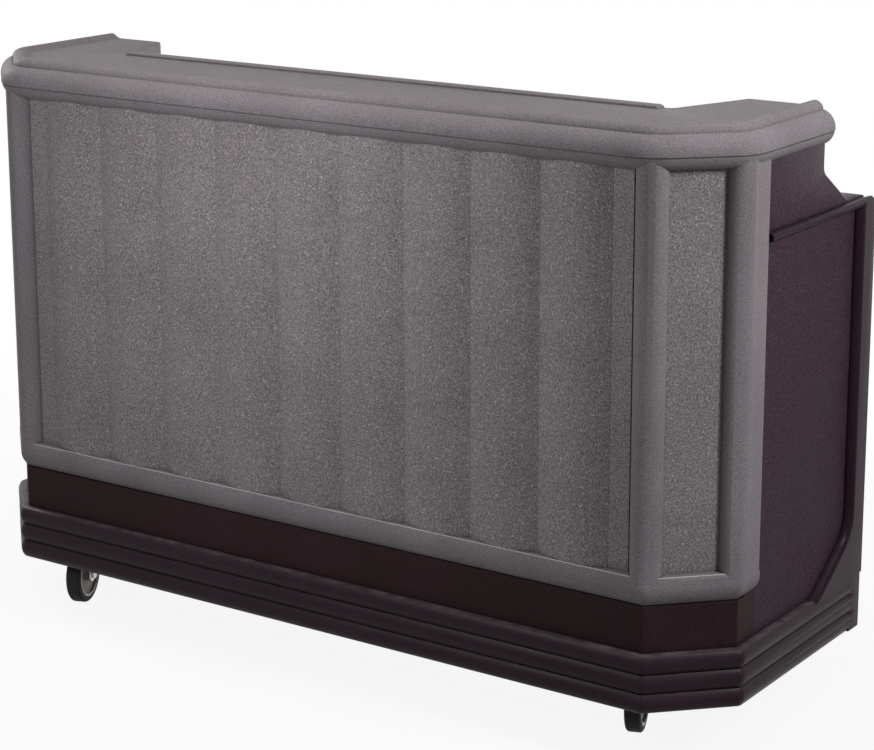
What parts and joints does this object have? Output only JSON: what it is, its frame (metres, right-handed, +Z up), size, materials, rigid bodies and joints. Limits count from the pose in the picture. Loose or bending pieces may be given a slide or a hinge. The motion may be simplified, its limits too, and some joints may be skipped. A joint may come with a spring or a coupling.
{
  "type": "mobile bar unit",
  "caption": "Free-standing mobile bar with cut front corners, a reeded front, a bullnosed top, an open rear cabinet with counter and ice bin, on braked swivel casters.",
  "frame": {"origin": "on the floor at the middle of the footprint", "axes": "+X along the bar to the right as a guest sees it, -Y towards the guests, +Z up"},
  "size_m": [1.848, 0.66, 1.213],
  "materials": {
    "grey_shell": "pebbled moulded polyethylene",
    "grey_top": "satin moulded polyethylene",
    "dark_shell": "lightly pebbled dark polyethylene",
    "liner": "smooth polyethylene",
    "zinc": "zinc plated steel",
    "wheel_core": "moulded nylon",
    "tyre": "black rubber",
    "red_grip": "red moulded plastic"
  },
  "bodies": {
    "cabinet": {"base_moulding": "dark_shell", "front_wall": "dark_shell", "end_wall_left": "dark_shell", "end_wall_right": "dark_shell", "front_panel": "grey_shell", "bar_top": "grey_top", "work_counter": "dark_shell", "divider_left": "dark_shell", "divider_right": "dark_shell", "shelf_cleats": "dark_shell", "ice_bin": "liner", "drain_stem": "zinc", "drain_valve": "zinc", "caster_bolts": "zinc", "plate_front_left": "zinc", "plate_front_right": "zinc", "plate_rear_left": "zinc", "plate_rear_right": "zinc", "swivel_front_left": "zinc", "swivel_front_right": "zinc", "swivel_rear_left": "zinc", "swivel_rear_right": "zinc"},
    "lid": {"ice_lid": "liner"},
    "well_left": {"bottle_well_left": "liner"},
    "well_right": {"bottle_well_right": "liner"},
    "left_shelf": {"shelf_left": "liner"},
    "right_shelf": {"shelf_right": "liner"},
    "drain_handle": {"drain_lever": "red_grip"},
    "caster_front_left": {"fork_front_left": "zinc", "axle_front_left": "zinc"},
    "wheel_front_left": {"core_front_left": "wheel_core", "tyre_front_left": "tyre"},
    "caster_front_right": {"fork_front_right": "zinc", "axle_front_right": "zinc"},
    "wheel_front_right": {"core_front_right": "wheel_core", "tyre_front_right": "tyre"},
    "caster_rear_left": {"fork_rear_left": "zinc", "axle_rear_left": "zinc", "brake_pin_rear_left": "zinc"},
    "wheel_rear_left": {"core_rear_left": "wheel_core", "tyre_rear_left": "tyre"},
    "pedal_rear_left": {"brake_pedal_rear_left": "red_grip"},
    "caster_rear_right": {"fork_rear_right": "zinc", "axle_rear_right": "zinc", "brake_pin_rear_right": "zinc"},
    "wheel_rear_right": {"core_rear_right": "wheel_core", "tyre_rear_right": "tyre"},
    "pedal_rear_right": {"brake_pedal_rear_right": "red_grip"}
  },
  "joints": [
    {"name": "lid_lift", "type": "slide", "parent": "cabinet", "child": "lid", "axis": [0, 0, 1], "range_m": [0, 0.25]},
    {"name": "well_left_lift", "type": "slide", "parent": "cabinet", "child": "well_left", "axis": [0, 0, 1], "range_m": [0, 0.25]},
    {"name": "well_right_lift", "type": "slide", "parent": "cabinet", "child": "well_right", "axis": [0, 0, 1], "range_m": [0, 0.25]},
    {"name": "shelf_left_pull", "type": "slide", "parent": "cabinet", "child": "left_shelf", "axis": [0, 1, 0], "range_m": [0, 0.45]},
    {"name": "shelf_right_pull", "type": "slide", "parent": "cabinet", "child": "right_shelf", "axis": [0, 1, 0], "range_m": [0, 0.45]},
    {"name": "drain_turn", "type": "hinge", "parent": "cabinet", "child": "drain_handle", "pos_m": [0, 0.158, 0.633], "axis": [0, 1, 0], "range_deg": [0, 90]},
    {"name": "swivel_front_left", "type": "hinge", "parent": "cabinet", "child": "caster_front_left", "pos_m": [-0.7, -0.205, 0], "axis": [0, 0, 1], "continuous": true},
    {"name": "roll_front_left", "type": "hinge", "parent": "caster_front_left", "child": "wheel_front_left", "pos_m": [-0.687, -0.24071, 0.0635], "axis": [-0.9397, -0.342, 0], "continuous": true},
    {"name": "swivel_front_right", "type": "hinge", "parent": "cabinet", "child": "caster_front_right", "pos_m": [0.7, -0.205, 0], "axis": [0, 0, 1], "continuous": true},
    {"name": "roll_front_right", "type": "hinge", "parent": "caster_front_right", "child": "wheel_front_right", "pos_m": [0.687, -0.16929, 0.0635], "axis": [0.9397, 0.342, 0], "continuous": true},
    {"name": "swivel_rear_left", "type": "hinge", "parent": "cabinet", "child": "caster_rear_left", "pos_m": [-0.7, 0.205, 0], "axis": [0, 0, 1], "continuous": true},
    {"name": "roll_rear_left", "type": "hinge", "parent": "caster_rear_left", "child": "wheel_rear_left", "pos_m": [-0.719, 0.23791, 0.0635], "axis": [0.866, 0.5, 0], "continuous": true},
    {"name": "brake_rear_left", "type": "hinge", "parent": "caster_rear_left", "child": "pedal_rear_left", "pos_m": [-0.74734, 0.287, 0.11107], "axis": [-0.866, -0.5, 0], "range_deg": [0, 15]},
    {"name": "swivel_rear_right", "type": "hinge", "parent": "cabinet", "child": "caster_rear_right", "pos_m": [0.7, 0.205, 0], "axis": [0, 0, 1], "continuous": true},
    {"name": "roll_rear_right", "type": "hinge", "parent": "caster_rear_right", "child": "wheel_rear_right", "pos_m": [0.719, 0.23791, 0.0635], "axis": [0.866, -0.5, 0], "continuous": true},
    {"name": "brake_rear_right", "type": "hinge", "parent": "caster_rear_right", "child": "pedal_rear_right", "pos_m": [0.74734, 0.287, 0.11107], "axis": [-0.866, 0.5, 0], "range_deg": [0, 15]}
  ]
}
